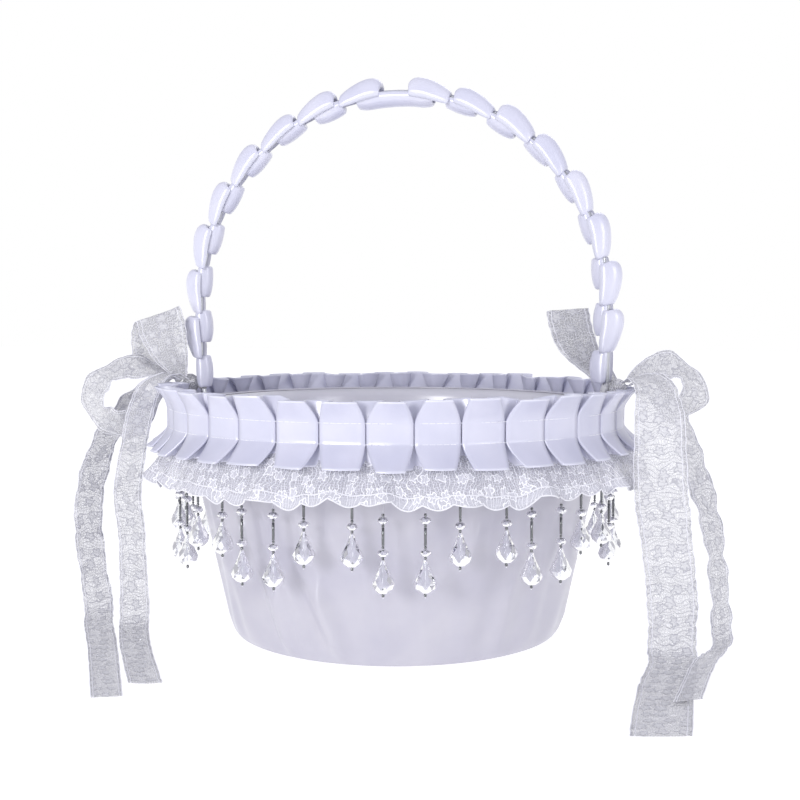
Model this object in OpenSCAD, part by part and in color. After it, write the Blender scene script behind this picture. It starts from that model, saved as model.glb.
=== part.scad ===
// Flower girl basket: a round satin-covered tub with a pleated ribbon rim, a gathered lace skirt,
// a fringe of beaded pendants that swing on a cord, a ribbon-covered wire handle and two lace bows.
// Millimetres. +Z is up, the tub's axis is Z, it stands on z = 0, and the handle's feet are on X.

/* [Tub] */
// Radius of the covered tub at its foot
foot_r = 72.8; // [60:0.1:88]
// Height of the covered wall
wall_h = 103; // [88:1:124]
// Growth of the radius for each millimetre of height
flare = 0.224; // [0.19:0.001:0.27]
// Thickness of the card wall and base
board_t = 2; // [1.6:0.1:2.6]
// Thickness of the satin cover, the lining and the underside
satin_t = 0.6; // [0.4:0.1:0.8]
// Thickness of the wadding under the lining's floor
wadding_t = 2; // [1:0.5:4]

/* [Rim ribbon] */
// How far the stitched band's middle lies below the wall's top
band_drop = 6.4; // [5:0.1:8]
// Height of the stitched band
band_h = 8; // [6:0.5:10]
// How far the band stands out of the wall
band_out = 7.1; // [6:0.1:9]
// How far the ribbon's edges reach above and below the band
edge_h = 9; // [7:0.5:11]
// How far the ribbon's edges stand out of the band
edge_out = 7; // [5:0.5:9]
// Thickness of the folded pleats
pleat_t = 2.4; // [1.6:0.1:3.2]

/* [Lace skirt] */
// Drop of the skirt below the band
skirt_drop = 22; // [18:1:26]
// How far the skirt's edge stands out of its sewn top
skirt_out = 12; // [9:0.5:14]
// Thickness of the gathered lace
lace_t = 0.8; // [0.5:0.1:1.2]

/* [Beaded fringe] */
// Drop of the fringe tape below the band
tape_drop = 15; // [12:0.5:18]
// Thickness of the fringe tape
tape_t = 0.6; // [0.4:0.1:0.8]
// Radius of the header cord that the pendants swing on
cord_r = 0.5; // [0.4:0.05:0.6]
// Thickness of a pendant's thread eye
eye_t = 0.6; // [0.4:0.1:0.8]
// Room between a thread eye and the header cord
eye_gap = 0.4; // [0.3:0.05:0.6]
// Length of a teardrop bead
drop_l = 13; // [10:0.5:15]
// Widest radius of a teardrop bead
drop_r = 4.5; // [3.5:0.1:5]
// Length of a bugle bead
bugle_l = 7; // [5:0.5:8]
// Radius of a round faceted bead
rondelle_r = 2.2; // [1.6:0.1:2.6]

/* [Handle] */
// Height of the arch's top over the wall's top, to the middle of the wire
arch_rise = 136; // [115:1:165]
// Diameter of the handle's wire
wire_d = 2.4; // [2:0.1:3]
// Height over the wall's top at which the wire's sloping foot turns upright
knee_rise = 10; // [7:0.5:16]
// Radius of the bend at the knee
knee_r = 12; // [8:1:20]
// Length of the foot that runs down inside the wall
foot_l = 26; // [18:1:34]
// Width of the handle's ribbon along Y
ruffle_w = 13; // [10:0.5:16]
// Thickness of the folded ribbon round the arch
ruffle_t = 9.6; // [8:0.2:12]

/* [Bows] */
// Height of both knots over the wall's top
knot_rise = 6; // [5:0.5:7]
// Radius of a knot
knot_r = 4.2; // [3:0.1:4.6]
// Turn of the bows about the vertical, which sends their tails to the front
bow_turn = 13; // [5:1:20]
// Thickness of the lace ribbon
ribbon_t = 0.8; // [0.5:0.1:1]

/* [Hidden] */
$fn = 64;

// Wall radii at a height z
function cover_r(z) = foot_r + flare * z;
function card_r(z) = cover_r(z) - satin_t;
function card_in_r(z) = card_r(z) - board_t;
foot_clearance = 0.3;
staple_d = 0.8;
lining_gap = wire_d + staple_d + 2 * foot_clearance;
turn_under = 14;
function lining_r(z) = card_in_r(z) - lining_gap;
function lining_in_r(z) = lining_r(z) - satin_t;
wall_angle = atan(flare);

// Floor stack, from the surface up
base_z = satin_t;
wadding_z = base_z + board_t;
floor_z = wadding_z + wadding_t;
wadding_room = 1;
underside_room = 0.2;
foot_round = 1.2;

// Rim ribbon: its lower edge flares a little more than its upper one
band_z = wall_h - band_drop;
band_lo = band_z - band_h / 2;
band_hi = band_z + band_h / 2;
band_r = cover_r(band_z) + band_out;
low_edge_r = band_r + edge_out + 2;
top_edge_r = band_r + edge_out - 1.5;
edge_bevel = 1;

// Fringe: the hinge circle, and a pendant's place on it
tape_stand = 3.3;
tape_r = cover_r(band_lo) + tape_stand;
hinge_r = tape_r + tape_t / 2;
eye_r = cord_r + eye_gap + eye_t / 2;
eye_room = 0.5;
tape_lo = band_lo - tape_drop;
hinge_z = tape_lo - eye_r - eye_t / 2 - eye_room;
stitch_r = tape_t / 3;
skirt_r = tape_r + tape_t + 0.4;
PERIODS = 10;
OFFSETS = [0, 9.5, 17.5, 29];
STITCH_OFFSETS = [4.75, 13.5, 23.25, 32.5];
first_angle = 10;
pendant_count = PERIODS * len(OFFSETS);
function pendant_angle(i) = first_angle + floor(i / 4) * 360 / PERIODS + OFFSETS[i % 4];
function is_long(i) = i % 4 < 2;
function pendant_name(i) = str("pendant_", i < 9 ? "0" : "", i + 1);

// Beads, as outlines of [radius, distance below the bead's top]
thread_r = 0.25;
seed_r = 0.6;
seed_l = 1.1;
bugle_r = 0.6;
rondelle_l = 2.9;
SEED = [[thread_r, 0], [seed_r, 0.3], [seed_r, seed_l - 0.3], [thread_r, seed_l]];
BUGLE = [[thread_r, 0], [bugle_r, 0.05], [bugle_r, bugle_l - 0.05], [thread_r, bugle_l]];
RONDELLE = [
    [thread_r, 0], [rondelle_r * 0.7, 0.05], [rondelle_r, rondelle_l * 0.35],
    [rondelle_r, rondelle_l * 0.65], [rondelle_r * 0.7, rondelle_l - 0.05], [thread_r, rondelle_l]
];
TEARDROP = [
    [thread_r, 0], [drop_r * 0.2, 0.05], [drop_r * 0.42, drop_l * 0.25], [drop_r * 0.8, drop_l * 0.5],
    [drop_r, drop_l * 0.66], [drop_r * 0.93, drop_l * 0.8], [drop_r * 0.5, drop_l * 0.96],
    [thread_r, drop_l]
];
SHORT_THREAD = 5;
LONG_THREAD = 9.5;
SHORT_STRAND = [BUGLE, SEED, RONDELLE, SEED, TEARDROP, SEED];
LONG_STRAND = [SEED, RONDELLE, SEED, BUGLE, SEED, RONDELLE, SEED, TEARDROP, SEED];
bead_space = 0.1;
function bead_length(bead) = bead[len(bead) - 1][1];
function bead_top(strand, n, start) =
    n == 0 ? start : bead_top(strand, n - 1, start) + bead_length(strand[n - 1]) + bead_space;

// Handle: a leg stands over the top of its foot, to the nearest tenth, and wire_x is the middle of
// the sloping foot at a height
wire_r = wire_d / 2;
arch_z = wall_h + arch_rise;
knee_z = wall_h + knee_rise;
function foot_x(z) = card_in_r(z) - foot_clearance - wire_r;
bend_end_z = knee_z - knee_r * sin(wall_angle);
leg_x = round(10 * (foot_x(bend_end_z) + knee_r * (1 - cos(wall_angle)))) / 10;
function wire_x(z) = leg_x - knee_r * (1 - cos(wall_angle)) - flare * (bend_end_z - z);
leg_top = arch_z - leg_x;
foot_low_z = wall_h - foot_l;
ruffle_lo = knee_z + 3;
staple_room = 0.1;
STAPLE_DROPS = [0.35, 0.75];

// Bows: a ribbon is a list of [middle, half of its width] rows from the knot outwards, both as
// [x, y, z] from the knot's middle, with X outwards to the side and Y away from the front. A tail's
// rows are for a knot that hangs 108.3 over them where they lie on the surface.
knot_z = wall_h + knot_rise;
knot_x = wire_x(knot_z) + wire_r + knot_r;
tail_drop = 108.3;
lying_room = 0.3;
tie_h = 5;
tie_t = 0.8;
ribbon_steps = 3;
LEFT_UPPER_LOOP = [
    [[-3, -6.5, 3], [2, 0, 0.5]], [[-7, -9, 12], [7, 0, 2.5]], [[-11, -9.5, 24], [10, 0, 3]],
    [[-14, -6, 32], [10, 0, 3.2]], [[-17, -1, 26], [10, 1, 3.5]], [[-17, 2, 15], [9, 1, 3.5]],
    [[-9, 2, 7], [5, 1, 2]], [[-4, 1, 4], [2, 0, 1]]
];
LEFT_LOWER_LOOP = [
    [[-5, -3, 3], [0, 2, 1]], [[-14, -6, 6], [0, 5, 3]], [[-28, -9, 8], [0, 7, 5]],
    [[-40, -10, 2], [-5, 7, 3]], [[-44, -10, -8], [-7, 7, 0]], [[-38, -9, -16], [-4, 7, -5]],
    [[-27, -8, -18.5], [0, 7, -7]], [[-16, -5, -10], [1, 4, -1]], [[-12.5, -4, -1], [1, 3, 0]],
    [[-8, -3, 3], [0, 2, 0.5]], [[-5, -1, 0.6], [0, 1.5, 0]]
];
LEFT_OUTER_TAIL = [
    [[-4, 3.5, 3], [1, 2, 0]], [[-11, 6, 5], [2, 4, 0]], [[-20, 6, 2], [3, 5, 1]],
    [[-32, 6, -10], [4, 5, 1]], [[-41, 4, -26], [5, 5, 0]], [[-46, 0, -42], [5.5, 5, 0]],
    [[-48, -4, -59], [5.5, 4, 0]], [[-47, -6, -75], [5.5, 4, 0]], [[-45, -7, -90], [5.5, 3, 0]],
    [[-43, -9, -100], [6, 3, 0]], [[-41.5, -14, -106.5], [6, 2, 0]], [[-39.5, -24, -108.3], [6, 2, 0]],
    [[-28, -67, -108.3], [6, 1, 0]], [[-11, -136, -108.3], [5.5, 1, 0]]
];
LEFT_INNER_TAIL = [
    [[-2, -6, 2], [2, 1, 0]], [[-8, -11, 5], [3, 2, 0]], [[-15, -17, 1], [5, 2, 0]],
    [[-19, -22, -10], [5.5, 2, 0]], [[-22, -24, -25], [5.5, 2, 0]], [[-25.5, -24, -48], [6, 1, 0]],
    [[-24, -24, -65], [6, 0, 0]], [[-23.5, -24, -80], [6, 0, 0]], [[-23, -24, -96], [6.5, 0, 0]],
    [[-22.5, -27, -105], [6.5, 0, 0]], [[-21, -36, -108.3], [6.5, 0, 0]],
    [[-14, -67, -108.3], [6.5, 0, 0]], [[0, -119, -108.3], [6.5, 0, 0]]
];
RIGHT_BACK_LOOP = [
    [[-1, 5, 3], [2, 0, 0]], [[-6, 12, 8], [5, 0, 0.5]], [[-15, 15, 18], [8, 0, 1]],
    [[-19, 16, 28], [9, 0, 1]], [[-20, 14, 34], [9, 0, 1]], [[-19, 11.5, 27], [9, 0, 1]],
    [[-15, 11, 16], [8, 0, 1]], [[-7, 10, 5], [4, 0, 0]], [[-1, 5, 0.6], [2, 0, 0]]
];
RIGHT_SIDE_LOOP = [
    [[4, -3, 4], [0, 2, 1]], [[10, -5, 9], [0, 3.5, 3]], [[20, -7, 11], [1, 7, 5]],
    [[30, -8, 5], [5, 6, 2]], [[31, -8, -5], [7, 6, -1]], [[23, -7, -10], [1, 6, -5]],
    [[15, -5, -5], [0, 3, -1]], [[11.5, -4, 0], [0, 2.5, 0]], [[8, -3, 3], [0, 2, 0]],
    [[4, -1, 1.2], [0, 1.5, 0]]
];
RIGHT_INNER_TAIL = [
    [[2, -6, 3], [2, 1, 0]], [[7, -13, 6], [5, 2, 1.5]], [[11, -23, 3], [8, 2, 1]],
    [[12, -31, -8], [10, 0, 0]], [[12.5, -33, -36], [11, 0, 0]], [[14, -33, -51], [11, 0, 0]],
    [[16, -33, -66], [10.5, 0, 0]], [[18, -33, -85], [10.5, 0, 0]], [[18, -34, -96], [10, 0, 0]],
    [[17, -38, -105], [10, 0, 0]], [[15.5, -48, -108.3], [10, 0, 0]],
    [[5.5, -82, -108.3], [10.5, 0, 0]], [[-7.5, -137, -108.3], [10.5, 0, 0]]
];
RIGHT_OUTER_TAIL = [
    [[4, 3.5, 3], [1, 2, 0]], [[11, 6, 5], [2, 3, 0]], [[20, 6, 1.5], [3, 3, 0]],
    [[28, 5, -11], [4, 3.5, 0]], [[33, 4, -27], [5, 3.5, 0]], [[36.5, 0, -41], [6, 4, 0]],
    [[41, -4, -60], [5.5, 5, 0]], [[43, -6, -76], [5, 5, 0]], [[44.5, -8, -94], [5, 4, 0]],
    [[44, -11, -103], [5, 3, 0]], [[43, -18, -107.6], [5, 3, 0]], [[38, -29, -108], [5, 3, 0]],
    [[33, -42, -106], [5.5, 2, 0]], [[25, -59, -105.8], [5.5, 2, 0]], [[9, -104, -106], [5.5, 2, 0]]
];

// Rolled card tube, butted and glued to the base
module wall_board() {
    color("tan") rotate_extrude() polygon([
        [card_in_r(base_z), base_z], [card_r(base_z), base_z],
        [card_r(wall_h - satin_t), wall_h - satin_t], [card_in_r(wall_h - satin_t), wall_h - satin_t]
    ]);
}

// Card disc set inside the wall's foot
module base_board() {
    color("tan") rotate_extrude() polygon([
        [0, base_z], [card_in_r(base_z), base_z], [card_in_r(wadding_z), wadding_z], [0, wadding_z]
    ]);
}

// Satin round the wall, turned over the rim and under the foot
module outer_cover() {
    lip = lining_gap + satin_t;
    color("ghostwhite") rotate_extrude() polygon([
        [card_r(0) - turn_under, 0], [foot_r - foot_round, 0], [cover_r(foot_round), foot_round],
        [cover_r(wall_h), wall_h],
        [card_in_r(wall_h) - lip, wall_h], [card_in_r(wall_h) - lip, wall_h - satin_t],
        [card_r(wall_h - satin_t), wall_h - satin_t], [card_r(base_z), base_z],
        [card_r(0) - turn_under, base_z]
    ]);
}

// Satin bag inside the tub, with its own floor
module lining() {
    top_z = wall_h - satin_t;
    color("ghostwhite") rotate_extrude() polygon([
        [0, floor_z], [lining_r(floor_z), floor_z], [lining_r(top_z), top_z],
        [lining_in_r(top_z), top_z], [lining_in_r(floor_z + satin_t), floor_z + satin_t],
        [0, floor_z + satin_t]
    ]);
}

// Wadding disc between the card base and the lining's floor
module floor_wadding() {
    color("white") rotate_extrude() polygon([
        [0, wadding_z], [card_in_r(wadding_z) - wadding_room, wadding_z], [lining_r(floor_z), floor_z],
        [0, floor_z]
    ]);
}

// Disc glued under the base, inside the cover's turned edge
module underside_cover() {
    color("ghostwhite") cylinder(r = card_r(0) - turn_under - underside_room, h = satin_t);
}

// Box-pleated satin ribbon sewn along its middle round the rim
module rim_ruffle() {
    color("lavender") rotate_extrude() polygon([
        [cover_r(band_lo), band_lo], [band_r - pleat_t, band_lo],
        [low_edge_r - pleat_t, band_lo - edge_h], [low_edge_r, band_lo - edge_h + edge_bevel],
        [band_r, band_lo], [band_r, band_hi], [top_edge_r, band_hi + edge_h - edge_bevel],
        [top_edge_r - pleat_t, band_hi + edge_h], [band_r - pleat_t, band_hi],
        [cover_r(band_hi), band_hi]
    ]);
}

// Gathered lace under the ribbon
module lace_skirt() {
    edge_r = skirt_r + skirt_out;
    color("whitesmoke") rotate_extrude() polygon([
        [skirt_r, band_lo], [edge_r - lace_t / 2, band_lo - skirt_drop + 0.5],
        [edge_r + lace_t / 2, band_lo - skirt_drop], [skirt_r + lace_t, band_lo]
    ]);
}

// Tape of the beaded fringe, with the stitches that hold its header cord
module fringe_tape() {
    color("white") {
        rotate_extrude() translate([tape_r, tape_lo]) square([tape_t, tape_drop]);
        for (period = [0 : PERIODS - 1], offset = STITCH_OFFSETS)
            rotate([0, 0, first_angle + period * 360 / PERIODS + offset - 90])
                translate([hinge_r, 0, hinge_z])
                    cylinder(r = stitch_r, h = tape_lo - hinge_z + stitch_r, $fn = 16);
    }
}

// Cord that the pendants' eyes run on
module header_cord() {
    color("white") rotate_extrude() translate([hinge_r, hinge_z]) circle(r = cord_r, $fn = 32);
}

// One pendant: a thread eye round the header cord, and the beads strung under it
module pendant(i) {
    strand = is_long(i) ? LONG_STRAND : SHORT_STRAND;
    start = is_long(i) ? LONG_THREAD : SHORT_THREAD;
    outline = [
        for (n = [0 : len(strand) - 1], p = strand[n]) [p[0], -(bead_top(strand, n, start) + p[1])]
    ];
    end_z = outline[len(outline) - 1][1];
    color("aliceblue")
        rotate([0, 0, pendant_angle(i) - 90]) translate([hinge_r, 0, hinge_z]) {
            rotate([90, 0, 0]) difference() {
                cylinder(r = eye_r + eye_t / 2, h = eye_t, center = true, $fn = 24);
                cylinder(r = cord_r + eye_gap, h = 2 * eye_t, center = true, $fn = 24);
            }
            rotate_extrude($fn = 24)
                polygon(concat([[0, -eye_r], [thread_r, -eye_r]], outline, [[0, end_z]]));
        }
}

// Upright legs from low_z and the half circle over them
module arch_bar(r, low_z) {
    for (side = [-1, 1])
        translate([side * leg_x, 0, low_z]) cylinder(r = r, h = leg_top - low_z, $fn = 32);
    translate([0, 0, leg_top]) rotate([90, 0, 0]) rotate_extrude(angle = 180)
        translate([leg_x, 0]) circle(r = r, $fn = 32);
}

// The bend under a leg and the straight foot that follows the wall's slope
module right_foot(r) {
    slope_l = (bend_end_z - foot_low_z) / cos(wall_angle);
    translate([leg_x - knee_r, 0, knee_z]) rotate([0, wall_angle, 0]) {
        rotate([90, 0, 0]) rotate_extrude(angle = wall_angle)
            translate([knee_r, 0]) circle(r = r, $fn = 32);
        translate([knee_r, 0, -slope_l]) cylinder(r = r, h = slope_l, $fn = 32);
    }
}

module handle_wire() {
    color("silver") {
        arch_bar(wire_r, knee_z);
        right_foot(wire_r);
        mirror([1, 0, 0]) right_foot(wire_r);
    }
}

// Folded ribbon threaded on the wire
module handle_ruffle() {
    half_t = ruffle_t / 2;
    half_w = ruffle_w / 2;
    corner = 2.5;
    section = [
        [-half_t, -half_w + corner], [-half_t + corner, -half_w], [half_t - corner, -half_w],
        [half_t, -half_w + corner], [half_t, half_w - corner], [half_t - corner, half_w],
        [-half_t + corner, half_w], [-half_t, half_w - corner]
    ];
    color("lavender") difference() {
        union() {
            for (side = [-1, 1]) translate([side * leg_x, 0, ruffle_lo])
                linear_extrude(leg_top - ruffle_lo) polygon(section);
            translate([0, 0, leg_top]) rotate([90, 0, 0]) rotate_extrude(angle = 180)
                translate([leg_x, 0]) polygon(section);
        }
        arch_bar(wire_r, ruffle_lo - wire_r);
    }
}

// Two wire staples over each foot, clinched into the card wall
module handle_staples() {
    staple_r = staple_d / 2;
    half_span = wire_r + staple_r + staple_room;
    leg_out = wire_r + foot_clearance + board_t * 0.75;
    color("silver") for (side = [-1, 1], down = STAPLE_DROPS)
        translate([side * wire_x(wall_h - down * foot_l), 0, wall_h - down * foot_l])
            rotate([0, side * wall_angle, 0]) {
                translate([-side * (wire_r + staple_r), 0, 0]) rotate([90, 0, 0])
                    cylinder(r = staple_r, h = 2 * half_span, center = true, $fn = 16);
                for (y = [-half_span, half_span]) translate([-side * (wire_r + staple_r), y, 0]) {
                    rotate([0, side * 90, 0])
                        cylinder(r = staple_r, h = leg_out + wire_r + staple_r, $fn = 16);
                    sphere(r = staple_r, $fn = 16);
                }
            }
}

// Rows of a tail let down as far as the surface, and rows of any ribbon joined by a smooth curve
function smooth(a, b, c, d, t) =
    0.5 * (2 * b + (c - a) * t + (2 * a - 5 * b + 4 * c - d) * t * t + (3 * b - a - 3 * c + d) * t * t * t);
function hung(rows) = [
    for (row = rows)
        let (z = row[0][2], longer = (knot_z - ribbon_t / 2 - lying_room) / tail_drop)
        [[row[0][0], row[0][1], z < 0 ? z * longer : z], row[1]]
];
function clamped(rows, n) = rows[min(max(n, 0), len(rows) - 1)];
function fine_rows(rows) = concat(
    [
        for (n = [0 : len(rows) - 2], s = [0 : ribbon_steps - 1])
            [for (k = [0, 1]) smooth(clamped(rows, n - 1)[k], rows[n][k], rows[n + 1][k],
                                     clamped(rows, n + 2)[k], s / ribbon_steps)]
    ],
    [rows[len(rows) - 1]]
);

// A flat ribbon of lace along its rows, as one closed sweep
module ribbon(rows) {
    path = fine_rows(rows);
    last = len(path) - 1;
    corners = [
        for (n = [0 : last])
            let (
                along = path[min(n + 1, last)][0] - path[max(n - 1, 0)][0],
                across = path[n][1],
                face = cross(along, across),
                out = face / norm(face) * ribbon_t / 2,
                middle = path[n][0]
            )
            each [middle - across - out, middle + across - out, middle + across + out, middle - across + out]
    ];
    sides = [
        for (n = [0 : last - 1], e = [0 : 3])
            let (a = 4 * n + e, b = 4 * n + (e + 1) % 4)
            each [[a, b, b + 4], [a, b + 4, a + 4]]
    ];
    end = 4 * last;
    ends = [[3, 2, 1], [3, 1, 0], [end, end + 1, end + 2], [end, end + 2, end + 3]];
    polyhedron(points = corners, faces = concat(sides, ends), convexity = 6);
}

module at_knot(side) {
    color("whitesmoke") translate([side * knot_x, 0, knot_z]) rotate([0, 0, bow_turn]) children();
}

// A knot and the turn of ribbon that ties it to the handle's foot
module bow_knot(side) {
    color("whitesmoke") difference() {
        union() {
            translate([side * knot_x, 0, knot_z]) sphere(r = knot_r, $fn = 32);
            translate([side * wire_x(knot_z), 0, knot_z]) rotate([0, side * wall_angle, 0])
                cylinder(r = wire_r + tie_t, h = tie_h, center = true, $fn = 32);
        }
        translate([side * wire_x(knot_z), 0, knot_z]) rotate([0, side * wall_angle, 0])
            cylinder(r = wire_r, h = 3 * tie_h, center = true, $fn = 32);
    }
}

module bow_left_loops() {
    at_knot(-1) {
        ribbon(LEFT_UPPER_LOOP);
        ribbon(LEFT_LOWER_LOOP);
    }
}
module bow_left_knot() { bow_knot(-1); }
module bow_left_tails() {
    at_knot(-1) {
        ribbon(hung(LEFT_OUTER_TAIL));
        ribbon(hung(LEFT_INNER_TAIL));
    }
}
module bow_right_loops() {
    at_knot(1) {
        ribbon(RIGHT_BACK_LOOP);
        ribbon(RIGHT_SIDE_LOOP);
    }
}
module bow_right_knot() { bow_knot(1); }
module bow_right_tails() {
    at_knot(1) {
        ribbon(hung(RIGHT_INNER_TAIL));
        ribbon(hung(RIGHT_OUTER_TAIL));
    }
}

wall_board();
base_board();
outer_cover();
lining();
floor_wadding();
underside_cover();
rim_ruffle();
lace_skirt();
fringe_tape();
header_cord();
handle_wire();
handle_ruffle();
handle_staples();
bow_left_loops();
bow_left_knot();
bow_left_tails();
bow_right_loops();
bow_right_knot();
bow_right_tails();
for (i = [0 : pendant_count - 1])
    pendant(i);
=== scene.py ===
import math

import bmesh
import bpy
import numpy as np
from mathutils import Matrix, Vector


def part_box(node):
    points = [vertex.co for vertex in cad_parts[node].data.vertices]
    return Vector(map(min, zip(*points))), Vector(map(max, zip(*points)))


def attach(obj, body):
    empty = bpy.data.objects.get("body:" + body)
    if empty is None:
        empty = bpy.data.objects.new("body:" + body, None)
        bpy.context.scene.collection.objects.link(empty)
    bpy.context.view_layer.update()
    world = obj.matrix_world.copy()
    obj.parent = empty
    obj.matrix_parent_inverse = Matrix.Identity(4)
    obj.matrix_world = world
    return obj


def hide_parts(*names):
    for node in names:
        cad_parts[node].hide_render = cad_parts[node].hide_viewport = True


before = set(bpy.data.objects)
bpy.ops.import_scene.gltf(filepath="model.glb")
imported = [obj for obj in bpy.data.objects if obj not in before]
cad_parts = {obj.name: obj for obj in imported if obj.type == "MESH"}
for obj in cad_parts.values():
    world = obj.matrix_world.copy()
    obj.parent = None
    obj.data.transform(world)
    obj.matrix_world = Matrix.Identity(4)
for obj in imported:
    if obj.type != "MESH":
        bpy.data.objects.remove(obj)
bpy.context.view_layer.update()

# ---------------------------------------------------------------- Studio
# A camera a little above the rim, turned so that the handle's right foot comes forward, and a plain
# pale floor. Soft light comes from a box low in front, a weaker one at the right and a large one
# behind, and a white surround turns grey higher up, so that the crystals have something to show.
MM = 0.001
camera_turn = 13.0
camera_far = 585
camera_high = 143
camera_down = 3.96
camera_pan = 0.16


def linear(code):
    """A hex colour as the linear values that a shader takes."""
    channels = [int(code[i:i + 2], 16) / 255 for i in (1, 3, 5)]
    return [c / 12.92 if c <= 0.04045 else ((c + 0.055) / 1.055) ** 2.4 for c in channels] + [1.0]


def add(tree, kind, links=None, **settings):
    """Adds a node to a tree, with its settings, and its inputs as values or as sockets to link."""
    node = tree.nodes.new(kind)
    for name, value in settings.items():
        setattr(node, name, value)
    for key, value in (links or {}).items():
        if isinstance(value, bpy.types.NodeSocket):
            tree.links.new(value, node.inputs[key])
        else:
            node.inputs[key].default_value = value
    return node


def finish_start(name):
    """A new material, its node tree and its main shader."""
    material = bpy.data.materials.new(name)
    material.use_nodes = True
    return material, material.node_tree, material.node_tree.nodes["Principled BSDF"]


scene = bpy.context.scene
scene.view_settings.view_transform = "Standard"
camera = bpy.data.objects.new("camera", bpy.data.cameras.new("camera"))
camera.data.lens = 58.5
camera.data.sensor_width = 36
camera.data.clip_start = 0.01
camera.location = (
    camera_far * math.sin(math.radians(camera_turn)) * MM,
    -camera_far * math.cos(math.radians(camera_turn)) * MM,
    camera_high * MM,
)
camera.rotation_euler = (math.radians(90 - camera_down), 0, math.radians(camera_turn - camera_pan))
scene.collection.objects.link(camera)
scene.camera = camera

floor_mesh = bpy.data.meshes.new("floor")
floor_mesh.from_pydata([(-4, -4, 0), (4, -4, 0), (4, 4, 0), (-4, 4, 0)], [], [(0, 1, 2, 3)])
floor = bpy.data.objects.new("floor", floor_mesh)
scene.collection.objects.link(floor)
paper, _, paper_shader = finish_start("white_backdrop_paper")
paper_shader.inputs["Base Color"].default_value = linear("#B6B6B8")
paper_shader.inputs["Roughness"].default_value = 0.9
paper_shader.inputs["Specular IOR Level"].default_value = 0.1
paper_shader.inputs["Emission Color"].default_value = linear("#FFFFFF")
paper_shader.inputs["Emission Strength"].default_value = 0.76
floor_mesh.materials.append(paper)

world = bpy.data.worlds.new("studio")
scene.world = world
world.use_nodes = True
sky = world.node_tree
sky_direction = add(sky, "ShaderNodeTexCoord").outputs["Generated"]
sky_height = add(sky, "ShaderNodeSeparateXYZ", {0: sky_direction}).outputs["Z"]
sky_bands = add(sky, "ShaderNodeValToRGB", {"Fac": sky_height})
sky_bands.color_ramp.elements[0].position = 0.24
sky_bands.color_ramp.elements[0].color = linear("#FFFFFF")
sky_bands.color_ramp.elements[1].position = 1.0
sky_bands.color_ramp.elements[1].color = linear("#E6E6EE")
for place, tone in ((0.32, "#BCBCC4"), (0.6, "#CCCCD4"), (0.8, "#E0E0E8")):
    sky_bands.color_ramp.elements.new(place).color = linear(tone)
sky.links.new(sky_bands.outputs["Color"], sky.nodes["Background"].inputs["Color"])
sky.nodes["Background"].inputs["Strength"].default_value = 1.0


def soft_box(name, place, aim, size, power, tone):
    """A square soft light at a place, aimed at a point."""
    light = bpy.data.lights.new(name, "AREA")
    light.size = size
    light.energy = power
    light.color = linear(tone)[:3]
    lamp = bpy.data.objects.new(name, light)
    lamp.location = place
    lamp.rotation_euler = (Vector(aim) - Vector(place)).to_track_quat("-Z", "Y").to_euler()
    scene.collection.objects.link(lamp)


soft_box("key_light", (-0.27, -0.93, 0.32), (0, 0, 0.09), 0.24, 3.4, "#FFFFFF")
soft_box("fill_light", (0.9, -0.5, 0.4), (0, 0, 0.1), 0.3, 1.3, "#F8F8FF")
soft_box("back_light", (0.1, 0.9, 0.8), (0, 0, 0.12), 0.6, 1.6, "#FFFFFF")

# ---------------------------------------------------------------- Satin cover
# White polyester satin wrapped round the card tub, turned over the rim and under the foot. It is
# pulled up to the rim by hand, so it keeps a few long slanting folds.
foot_r = 72.8
flare = 0.224
satin_t = 0.6
board_t = 2.0
lining_gap = 3.8
turned_under = 14
mean_r = 84
wall_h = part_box("outer_cover")[1][2] / MM


def cover_r(z):
    """Radius of the cover at a height, in millimetres."""
    return foot_r + flare * z


def cloth(name, points, uv, ring=False, flip=False):
    """A grid of points, in millimetres, as a smooth sheet of quads with a UV map in centimetres."""
    rows, columns = points.shape[:2]
    spans = columns if ring else columns - 1
    r, c = np.meshgrid(np.arange(rows - 1), np.arange(spans), indexing="ij")
    r, c = r.ravel(), c.ravel()
    after = (c + 1) % columns
    corners = np.stack([
        r * columns + c, r * columns + after, (r + 1) * columns + after, (r + 1) * columns + c,
    ], 1)
    places = np.stack([uv[r, c], uv[r, c + 1], uv[r + 1, c + 1], uv[r + 1, c]], 1)
    if flip:
        corners, places = corners[:, ::-1], places[:, ::-1]
    mesh = bpy.data.meshes.new(name)
    mesh.from_pydata((points.reshape(-1, 3) * MM).tolist(), [], corners.tolist())
    mesh.uv_layers.new(name="UVMap").data.foreach_set("uv", places.reshape(-1).astype(np.float32))
    mesh.polygons.foreach_set("use_smooth", np.ones(len(mesh.polygons), bool))
    piece = bpy.data.objects.new(name, mesh)
    scene.collection.objects.link(piece)
    return piece


def thicken(piece, thickness, offset=-1.0):
    """Gives a sheet its thickness, in millimetres."""
    solid = piece.modifiers.new("thickness", "SOLIDIFY")
    solid.thickness = thickness * MM
    solid.offset = offset


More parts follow.
